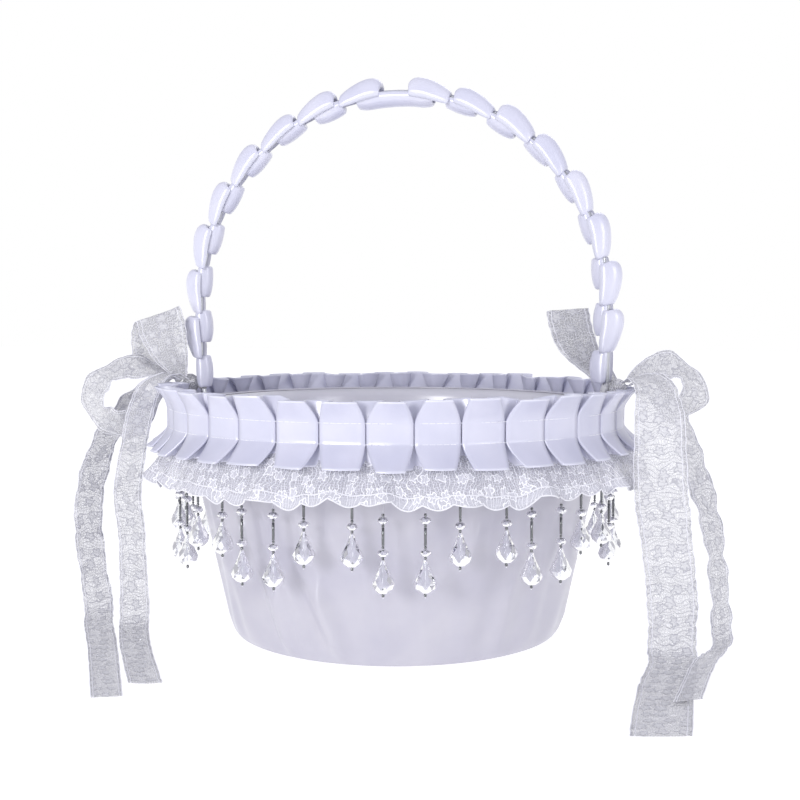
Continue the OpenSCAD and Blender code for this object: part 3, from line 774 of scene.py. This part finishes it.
def turned(rings, sides, stagger):
    """Rings of (radius, height) as points and faces; stagger turns every other ring by half a side."""
    places, faces = [], []
    for n, (radius, height) in enumerate(rings):
        shift = 0.5 * (n % 2) if stagger else 0.0
        for s in range(sides):
            turn = 2 * math.pi * (s + shift) / sides
            places.append((radius * math.cos(turn), radius * math.sin(turn), height))
    for n in range(len(rings) - 1):
        for s in range(sides):
            a, b = n * sides + s, n * sides + (s + 1) % sides
            c, d = a + sides, b + sides
            if not stagger:
                faces.append((a, b, d, c))
            elif n % 2 == 0:
                faces += [(a, b, c), (b, d, c)]
            else:
                faces += [(a, d, c), (a, b, d)]
    faces.append(tuple(range(sides))[::-1])
    faces.append(tuple(len(places) - sides + s for s in range(sides)))
    return places, faces


bead_lengths = {"seed": 1.1, "bugle": 7.0, "rondelle": 2.9, "teardrop": 13.0}


def bead(kind):
    """A bead below height 0: its points, faces, material number and whether it is smooth."""
    if kind == "seed":
        rings = [(0.28, 0), (0.52, -0.15), (0.62, -0.55), (0.52, -0.95), (0.28, -1.1)]
        return (*turned(rings, 8, False), 1, True)
    if kind == "bugle":
        rings = [(0.4, 0), (0.58, -0.1), (0.58, -6.9), (0.4, -7.0)]
        return (*turned(rings, 8, False), 1, True)
    if kind == "rondelle":
        rings = [(0.7, 0), (1.55, -0.35), (2.15, -1.1), (2.15, -1.8), (1.55, -2.55), (0.7, -2.9)]
        return (*turned(rings, 8, True), 0, False)
    rings = [(0.75, 0), (1.15, -1.5), (1.9, -3.4), (2.9, -5.4), (3.85, -7.2), (4.45, -9.0)]
    rings += [(3.95, -10.9), (2.3, -12.4), (0.8, -13.0)]
    return (*turned(rings, 10, True), 0, False)


def strand_mesh(name, strand, thread_length, draw):
    """One string from its eye down, about the hinge: points, faces, material numbers, smooth flags."""
    places, faces, kinds, smooth = [], [], [], []

    def take(more_places, more_faces, kind, is_smooth, turn=0.0, lift=0.0):
        start = len(places)
        c, s = math.cos(turn), math.sin(turn)
        places.extend((x * c - y * s, x * s + y * c, z + lift) for x, y, z in more_places)
        faces.extend(tuple(start + corner for corner in face) for face in more_faces)
        kinds.extend([kind] * len(more_faces))
        smooth.extend([is_smooth] * len(more_faces))

    ring_count, side_count = 16, 6
    loop_places = []
    for n in range(ring_count):
        a = 2 * math.pi * n / ring_count
        for s in range(side_count):
            b = 2 * math.pi * s / side_count
            r = eye_r + thread_r * 1.3 * math.cos(b)
            loop_places.append((r * math.sin(a), thread_r * 1.3 * math.sin(b), r * math.cos(a)))
    loop_faces = []
    for n in range(ring_count):
        this, after = n * side_count, (n + 1) % ring_count * side_count
        for s in range(side_count):
            beside = (s + 1) % side_count
            loop_faces.append((this + s, this + beside, after + beside, after + s))
    take(loop_places, loop_faces, 2, True)
    total = thread_length + sum(bead_lengths[kind] + bead_space for kind in strand)
    take(*turned([(0.3, -eye_r + 0.1), (0.42, -eye_r - 0.35), (0.3, -eye_r - 0.8)], 6, False), 2, True)
    take(*turned([(thread_r, -eye_r), (thread_r, -total - 0.1)], 6, False), 2, True)
    depth = thread_length
    for kind in strand:
        more_places, more_faces, number, is_smooth = bead(kind)
        take(more_places, more_faces, number, is_smooth, turn=draw.uniform(0, 6.28), lift=-depth)
        depth += bead_lengths[kind] + bead_space
    take(*turned([(0.15, -depth + 0.1), (0.32, -depth - 0.1), (0.15, -depth - 0.45)], 6, False), 2, True)
    mesh = bpy.data.meshes.new(name)
    mesh.from_pydata([(x * MM, y * MM, z * MM) for x, y, z in places], [], faces)
    mesh.polygons.foreach_set("material_index", kinds)
    mesh.polygons.foreach_set("use_smooth", smooth)
    for finish in (crystal, bugle_glass, thread):
        mesh.materials.append(finish)
    return mesh


pendant_draw = np.random.default_rng(31)
for number in range(pendants):
    turn = math.radians(first_pendant + group_turn * (number // 4) + pendant_offsets[number % 4])
    name = f"pendant_{number + 1:02d}"
    strand, thread_length = (long_strand, long_thread) if number % 4 < 2 else (short_strand, short_thread)
    mesh = strand_mesh("beads_" + name, strand, thread_length, pendant_draw)
    mesh.transform(
        Matrix.Translation((hinge_r * math.sin(turn) * MM, -hinge_r * math.cos(turn) * MM, hinge_z * MM))
        @ Matrix.Rotation(turn - math.pi / 2, 4, "Z")
    )
    string = bpy.data.objects.new("beads_" + name, mesh)
    scene.collection.objects.link(string)
    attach(string, name)
    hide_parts(name)

# ---------------------------------------------------------------- Handle ribbon
# A satin ribbon pierced by the handle's wire again and again and pushed together along it, so that it
# folds into shells: a long one outside the wire, back under itself, and a shorter one inside the wire.
arch_x = 93.7
wire_r = 1.2
foot_cover = 16.4
top_gap = 4.8
shell_pitch = 20.3
leg_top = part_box("handle_wire")[1][2] / MM - wire_r - arch_x
ribbon_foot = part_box("handle_ruffle")[0][2] / MM - foot_cover
leg_length = leg_top - ribbon_foot
half_way = leg_length + math.pi * arch_x / 2
shells_a_side = 9
handle_draw = np.random.default_rng(3)


def arch_place(along):
    """Point and outward direction of the wire at a length from the right foot, in the X-Z plane."""
    if along < leg_length:
        return (arch_x, ribbon_foot + along), (1.0, 0.0)
    turn = (along - leg_length) / arch_x
    if turn < math.pi:
        return (arch_x * math.cos(turn), leg_top + arch_x * math.sin(turn)), (math.cos(turn), math.sin(turn))
    return (-arch_x, leg_top - (turn - math.pi) * arch_x), (-1.0, 0.0)


# One step, as rows across the ribbon: length along the wire and distance out of it of the ribbon's
# middle, then the same of its edges, and how far the edges stand in front of the wire and behind it.
shell_rows = (
    (0.6, 1.9, 0.0, -2.6, 5.0), (2.6, 3.7, 2.0, -2.9, 5.5), (6.0, 5.1, 5.2, -2.9, 5.6),
    (9.5, 6.2, 8.8, -2.5, 5.7), (13.2, 6.9, 13.0, -2.1, 5.7), (16.4, 6.6, 16.2, -1.8, 5.5),
    (18.4, 5.2, 17.8, -1.5, 5.1),
    (18.9, 3.4, 17.4, -1.7, 4.5), (16.6, 1.6, 14.6, -2.3, 4.2), (13.0, 0.0, 11.6, -2.6, 3.9),
    (9.6, -1.8, 8.4, -2.4, 3.9), (7.8, -3.4, 7.4, -1.4, 4.0), (8.0, -4.7, 8.6, -0.4, 4.3),
    (11.6, -5.6, 12.0, 0.2, 4.5), (16.0, -5.6, 16.4, 0.4, 4.5), (19.6, -5.0, 19.6, 0.4, 4.3),
    (21.6, -3.8, 21.2, 0.0, 4.1),
)
inner_lobe_row = 11


def smoothed(rows, parts):
    """Rows of numbers joined by a Catmull-Rom curve."""
    rows = np.array(rows, float)
    ends = np.concatenate([rows[:1], rows, rows[-1:]])
    made_rows = []
    for a, b, c, d in zip(ends, ends[1:], ends[2:], ends[3:]):
        for s in range(parts):
            t = s / parts
            bend = (2 * a - 5 * b + 4 * c - d) * t ** 2 + (3 * b - a - 3 * c + d) * t ** 3
            made_rows.append(0.5 * (2 * b + (c - a) * t + bend))
    made_rows.append(rows[-1])
    return np.array(made_rows)


def ribbon_side(start, boost):
    """Rows of the ribbon from a foot to the arch's top; its lowest shells are larger by boost."""
    step = (half_way - top_gap - start) / shells_a_side
    rows = []
    for n in range(shells_a_side):
        more = (1 + boost * max(0.0, 1.5 - n) / 1.5) * handle_draw.uniform(0.9, 1.08)
        size = step / shell_pitch * handle_draw.uniform(0.98, 1.02)
        shift, depth = handle_draw.uniform(-0.4, 0.2), handle_draw.uniform(0.92, 1.08)
        at = start + n * step
        for mid, out, edge, edge_out, edge_deep in shell_rows[inner_lobe_row if n == 0 else 0:]:
            rows.append((at + mid * size, out * more, at + edge * size, edge_out + shift, edge_deep * depth))
    return smoothed(rows[:-2], 4)


whole = ribbon_side(4.4, 0.4)
back_down = ribbon_side(0.0, 0.1)[::-1] * (-1, 1, -1, 1, 1) + (2 * half_way, 0, 2 * half_way, 0, 0)
whole = np.concatenate([whole, smoothed([whole[-1], back_down[0]], 4)[1:-1], back_down])
across = np.linspace(-1, 1, 13)
points = np.zeros((len(whole), len(across), 3))
for row, (mid, out, edge, edge_out, edge_deep) in enumerate(whole):
    for n, w in enumerate(across):
        bulge = math.cos(w * math.pi / 2) ** 0.8
        (x, z), (out_x, out_z) = arch_place(edge + (mid - edge) * bulge)
        h = edge_out + (out - edge_out) * bulge + 2.0 * max(w, 0.0) * (1 - bulge)
        points[row, n] = (x + out_x * h, edge_deep * math.sin(w * math.pi / 2), z + out_z * h)
along_cloth = np.concatenate([[0], np.cumsum(np.linalg.norm(np.diff(points[:, 3], axis=0), axis=1))])
uv = np.stack(np.broadcast_arrays(along_cloth[:, None] / 10, across[None, :] + 1), 2)
handle_ribbon = cloth("handle_ribbon", points, uv)
thicken(handle_ribbon, 0.3, offset=0.0)
handle_satin = ribbon_satin("narrow_satin_ribbon", "#D6D6E6", "#C8C9DE", 20)
handle_ribbon.data.materials.append(handle_satin)
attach(handle_ribbon, "root")
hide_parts("handle_ruffle")

# ---------------------------------------------------------------- Bows
# Each bow is a sheer lace ribbon tied to the handle's foot: two loops and two long tails. A row is
# the ribbon's middle and half of its width, from the knot, X outwards and Y away from the front.
bow_turn = 13.0
knot_r = 4.2
knot_to_floor = 108.3
ribbon_rows = {
    "bow_left_upper_loop": [
        [[-3, -6.5, 3], [2, 0, 0.5]], [[-7, -9, 12], [7, 0, 2.5]], [[-11, -9.5, 24], [10, 0, 3]],
        [[-14, -6, 32], [10, 0, 3.2]], [[-17, -1, 26], [10, 1, 3.5]], [[-17, 2, 15], [9, 1, 3.5]],
        [[-9, 2, 7], [5, 1, 2]], [[-4, 1, 4], [2, 0, 1]],
    ],
    "bow_left_lower_loop": [
        [[-5, -3, 3], [0, 2, 1]], [[-14, -6, 6], [0, 5, 3]], [[-28, -9, 8], [0, 7, 5]],
        [[-40, -10, 2], [-5, 7, 3]], [[-44, -10, -8], [-7, 7, 0]], [[-38, -9, -16], [-4, 7, -5]],
        [[-27, -8, -18.5], [0, 7, -7]], [[-16, -5, -10], [1, 4, -1]], [[-12.5, -4, -1], [1, 3, 0]],
        [[-8, -3, 3], [0, 2, 0.5]], [[-5, -1, 0.6], [0, 1.5, 0]],
    ],
    "bow_left_outer_tail": [
        [[-4, 3.5, 3], [1, 2, 0]], [[-11, 6, 5], [2, 4, 0]], [[-20, 6, 2], [3, 5, 1]],
        [[-32, 6, -10], [4, 5, 1]], [[-41, 4, -26], [5, 5, 0]], [[-46, 0, -42], [5.5, 5, 0]],
        [[-48, -4, -59], [5.5, 4, 0]], [[-47, -6, -75], [5.5, 4, 0]], [[-45, -7, -90], [5.5, 3, 0]],
        [[-43, -9, -100], [6, 3, 0]], [[-41.5, -14, -106.5], [6, 2, 0]], [[-39.5, -24, -108.3], [6, 2, 0]],
        [[-28, -67, -108.3], [6, 1, 0]], [[-11, -136, -108.3], [5.5, 1, 0]],
    ],
    "bow_left_inner_tail": [
        [[-2, -6, 2], [2, 1, 0]], [[-8, -11, 5], [3, 2, 0]], [[-15, -17, 1], [5, 2, 0]],
        [[-19, -22, -10], [5.5, 2, 0]], [[-22, -24, -25], [5.5, 2, 0]], [[-25.5, -24, -48], [6, 1, 0]],
        [[-24, -24, -65], [6, 0, 0]], [[-23.5, -24, -80], [6, 0, 0]], [[-23, -24, -96], [6.5, 0, 0]],
        [[-22.5, -27, -105], [6.5, 0, 0]], [[-21, -36, -108.3], [6.5, 0, 0]],
        [[-14, -67, -108.3], [6.5, 0, 0]], [[0, -119, -108.3], [6.5, 0, 0]],
    ],
    "bow_right_back_loop": [
        [[-1, 5, 3], [2, 0, 0]], [[-6, 12, 8], [5, 0, 0.5]], [[-15, 15, 18], [8, 0, 1]],
        [[-19, 16, 28], [9, 0, 1]], [[-20, 14, 34], [9, 0, 1]], [[-19, 11.5, 27], [9, 0, 1]],
        [[-15, 11, 16], [8, 0, 1]], [[-7, 10, 5], [4, 0, 0]], [[-1, 5, 0.6], [2, 0, 0]],
    ],
    "bow_right_side_loop": [
        [[4, -3, 4], [0, 2, 1]], [[10, -5, 9], [0, 3.5, 3]], [[20, -7, 11], [1, 7, 5]],
        [[30, -8, 5], [5, 6, 2]], [[31, -8, -5], [7, 6, -1]], [[23, -7, -10], [1, 6, -5]],
        [[15, -5, -5], [0, 3, -1]], [[11.5, -4, 0], [0, 2.5, 0]], [[8, -3, 3], [0, 2, 0]],
        [[4, -1, 1.2], [0, 1.5, 0]],
    ],
    "bow_right_inner_tail": [
        [[2, -6, 3], [2, 1, 0]], [[7, -13, 6], [5, 2, 1.5]], [[11, -23, 3], [8, 2, 1]],
        [[12, -31, -8], [10, 0, 0]], [[12.5, -33, -36], [11, 0, 0]], [[14, -33, -51], [11, 0, 0]],
        [[16, -33, -66], [10.5, 0, 0]], [[18, -33, -85], [10.5, 0, 0]], [[18, -34, -96], [10, 0, 0]],
        [[17, -38, -105], [10, 0, 0]], [[15.5, -48, -108.3], [10, 0, 0]],
        [[5.5, -82, -108.3], [10.5, 0, 0]], [[-7.5, -137, -108.3], [10.5, 0, 0]],
    ],
    "bow_right_outer_tail": [
        [[4, 3.5, 3], [1, 2, 0]], [[11, 6, 5], [2, 3, 0]], [[20, 6, 1.5], [3, 3, 0]],
        [[28, 5, -11], [4, 3.5, 0]], [[33, 4, -27], [5, 3.5, 0]], [[36.5, 0, -41], [6, 4, 0]],
        [[41, -4, -60], [5.5, 5, 0]], [[43, -6, -76], [5, 5, 0]], [[44.5, -8, -94], [5, 4, 0]],
        [[44, -11, -103], [5, 3, 0]], [[43, -18, -107.6], [5, 3, 0]], [[38, -29, -108], [5, 3, 0]],
        [[33, -42, -106], [5.5, 2, 0]], [[25, -59, -105.8], [5.5, 2, 0]], [[9, -104, -106], [5.5, 2, 0]],
    ],
}
stands_for = {
    "bow_left_upper_loop": "bow_left_loops", "bow_left_lower_loop": "bow_left_loops",
    "bow_left_outer_tail": "bow_left_tails", "bow_left_inner_tail": "bow_left_tails",
    "bow_right_back_loop": "bow_right_loops", "bow_right_side_loop": "bow_right_loops",
    "bow_right_inner_tail": "bow_right_tails", "bow_right_outer_tail": "bow_right_tails",
}


def knot_place(name):
    """A knot's distance from the middle and its height, in millimetres."""
    low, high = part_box(name)
    return max(abs(low[0]), abs(high[0])) / MM - knot_r, high[2] / MM - knot_r


def from_knot(side, spots):
    """Points given from a knot, in millimetres, turned and moved to that knot."""
    knot_x, knot_z = knot_place("bow_left_knot" if side < 0 else "bow_right_knot")
    c, s = math.cos(math.radians(bow_turn)), math.sin(math.radians(bow_turn))
    x, y, z = spots[..., 0], spots[..., 1], spots[..., 2]
    return np.stack([x * c - y * s + side * knot_x, x * s + y * c, z + knot_z], -1)


bow_lace = lace_finish("sheer_lace_ribbon", "#B4B4BC", "#DEDEE2", 1.1, 7.0, 0.35, 90.0, 91.0)
edge_scallop = 5.0
bow_draw = np.random.default_rng(17)
selvedges = {-1: [], 1: []}
for name, rows in ribbon_rows.items():
    side = -1 if "left" in name else 1
    flat_rows = [[*middle, *half] for middle, half in rows]
    path = smoothed(flat_rows, 12)
    middles, halves = path[:, :3], path[:, 3:]
    along = np.gradient(middles, axis=0)
    facing = np.cross(along, halves)
    facing /= np.linalg.norm(facing, axis=1)[:, None]
    length = np.concatenate([[0], np.cumsum(np.linalg.norm(np.diff(middles, axis=0), axis=1))])
    hanging = np.clip((knot_to_floor + middles[:, 2]) / 12, 0, 1)
    from_pinch = np.clip(length / 14, 0, 1)
    phase = bow_draw.uniform(0, 6.28, 3)
    across = np.linspace(-1, 1, 13)
    scallop = 1 + 0.02 * np.cos(length * 2 * math.pi / edge_scallop)
    points = np.zeros((len(path), len(across), 3))
    for n, w in enumerate(across):
        ripple = 0.7 * np.sin(length * 0.33 + phase[0] + 1.4 * w)
        ripple += 0.45 * np.sin(length * 0.61 + phase[1] - 2 * w)
        lifted = 0.25 * (1 + np.sin(length * 0.5 + phase[2])) * w * w
        ripple = ripple * (0.25 + 0.75 * w * w) * from_pinch * hanging + lifted * (1 - hanging)
        points[:, n] = middles + halves * w * scallop[:, None] + facing * ripple[:, None]
    points[..., 2] = np.maximum(points[..., 2], -knot_to_floor - 0.35)
    width = np.linalg.norm(halves, axis=1) * 2
    widest = float(width.max())
    uv = np.stack(np.broadcast_arrays(length[:, None] / 10, across[None, :] * widest / 20 + 1.5), 2)
    placed = from_knot(side, points)
    piece = cloth(name, placed, uv)
    thicken(piece, 0.22, offset=0.0)
    piece.data.materials.append(bow_lace)
    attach(piece, "root")
    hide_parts(stands_for[name])
    selvedges[side] += [placed[:, 0], placed[:, -1], placed[:, 1], placed[:, -2]]
for side, name in ((-1, "bow_left_selvedges"), (1, "bow_right_selvedges")):
    cords = grown(name, guide_line("selvedge_guide", selvedges[side]), cord_tree, {
        "Radius": 0.00022, "Sides": 5, "Material": yarn,
    })
    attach(cords, "root")

# The knots are a turn of the same ribbon, pulled tight over the loops and round the handle's foot.
tie_half = 2.6
wire_gap = 0.3
for side, name in ((-1, "bow_left_knot"), (1, "bow_right_knot")):
    knot_x, knot_z = knot_place(name)
    rounds, ways = np.meshgrid(np.linspace(0, 2 * math.pi, 49), np.linspace(0.03, math.pi - 0.03, 24))
    crease = 0.07 * np.sin(9 * rounds + 3 * np.cos(ways)) + 0.05 * np.sin(14 * rounds - 2 * ways)
    r = knot_r * (0.95 + crease * np.sin(ways))
    spots = np.stack([
        r * np.cos(ways) * 0.96, r * np.sin(ways) * np.cos(rounds), r * np.sin(ways) * np.sin(rounds) * 1.02,
    ], 2)
    spots += np.array([side * knot_x, 0, knot_z])
    uv = np.stack([rounds * 0.42, ways * 0.42 + 1.5], 2)
    knot = cloth(name.replace("knot", "wrap"), spots[:, :-1], uv, ring=True, flip=True)
    knot.data.materials.append(bow_lace)
    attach(knot, "root")
    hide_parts(name)
    foot_x = cover_r(knot_z) - satin_t - board_t - wire_gap - wire_r
    rounds, ways = np.meshgrid(np.linspace(0, 2 * math.pi, 33), np.linspace(-1, 1, 9))
    r = 1.9 + 0.14 * np.sin(5 * rounds + 3 * ways) - 0.25 * ways ** 6
    spots = np.stack([
        side * (foot_x + flare * tie_half * ways) + r * np.cos(rounds), r * np.sin(rounds),
        knot_z + tie_half * ways,
    ], 2)
    uv = np.stack([rounds * 0.2, ways * 0.26 + 1.5], 2)
    tie = cloth(name.replace("knot", "tie"), spots[:, :-1], uv, ring=True)
    thicken(tie, 0.3)
    tie.data.materials.append(bow_lace)
    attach(tie, "root")
    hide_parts(name)

# ---------------------------------------------------------------- Finishes of the carried-over parts
# The card, the wire, the staples, the tape and the cord keep their shapes and get their materials.


def card_finish():
    """Greyboard: pressed waste paper, dull, with flecks and short fibres."""
    material, tree, shader = finish_start("pressed_greyboard")
    place = add(tree, "ShaderNodeTexCoord").outputs["Object"]
    flecks = add(tree, "ShaderNodeTexNoise", {
        "Vector": place, "Scale": 900.0, "Detail": 4.0, "Roughness": 0.7,
    })
    hue = add(tree, "ShaderNodeMix", {
        0: flecks.outputs["Fac"], 6: linear("#A89A80"), 7: linear("#CDBF9F"),
    }, data_type="RGBA")
    tree.links.new(hue.outputs[2], shader.inputs["Base Color"])
    relief = add(tree, "ShaderNodeBump", {
        "Height": flecks.outputs["Fac"], "Strength": 0.3, "Distance": 0.0002,
    })
    tree.links.new(relief.outputs[0], shader.inputs["Normal"])
    shader.inputs["Roughness"].default_value = 0.9
    return material


def wire_finish():
    """Bright drawn steel wire, with fine lines along it from the die."""
    material, tree, shader = finish_start("bright_drawn_steel")
    place = add(tree, "ShaderNodeTexCoord").outputs["Object"]
    lines = add(tree, "ShaderNodeMapping", {"Vector": place, "Scale": (3000.0, 3000.0, 150.0)})
    lines = add(tree, "ShaderNodeTexNoise", {"Vector": lines.outputs[0], "Scale": 1.0, "Detail": 3.0})
    polish = add(tree, "ShaderNodeMapRange", {"Value": lines.outputs["Fac"], "To Min": 0.22, "To Max": 0.4})
    tree.links.new(polish.outputs[0], shader.inputs["Roughness"])
    shader.inputs["Base Color"].default_value = linear("#C4C6CA")
    shader.inputs["Metallic"].default_value = 1.0
    return material


def tape_finish():
    """Cotton tape in a plain weave, drawn with its yarns 0.7 mm apart."""
    material, tree, shader = finish_start("woven_cotton_tape")
    place = add(tree, "ShaderNodeTexCoord").outputs["Object"]
    weft = add(tree, "ShaderNodeTexWave", {"Vector": place, "Scale": 450.0}, bands_direction="Z")
    warp = add(tree, "ShaderNodeTexWave", {"Vector": place, "Scale": 450.0}, bands_direction="DIAGONAL")
    weave = add(tree, "ShaderNodeMath", {
        0: weft.outputs["Fac"], 1: warp.outputs["Fac"],
    }, operation="MULTIPLY").outputs[0]
    hue = add(tree, "ShaderNodeMix", {
        0: weave, 6: linear("#DCDCE6"), 7: linear("#F4F4FA"),
    }, data_type="RGBA")
    tree.links.new(hue.outputs[2], shader.inputs["Base Color"])
    relief = add(tree, "ShaderNodeBump", {"Height": weave, "Strength": 0.5, "Distance": 0.0002})
    tree.links.new(relief.outputs[0], shader.inputs["Normal"])
    shader.inputs["Roughness"].default_value = 0.75
    return material


card = card_finish()
wire = wire_finish()
tape = tape_finish()
underside_satin = satin_finish("white_underside_satin", "#DBD9E2", "#D2D0DB", laid_by="Object")
for node, finish in (
    ("wall_board", card), ("base_board", card), ("handle_wire", wire), ("handle_staples", wire),
    ("header_cord", thread), ("fringe_tape", tape), ("underside_cover", underside_satin),
):
    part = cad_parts[node]
    part.data.materials.clear()
    part.data.materials.append(finish)
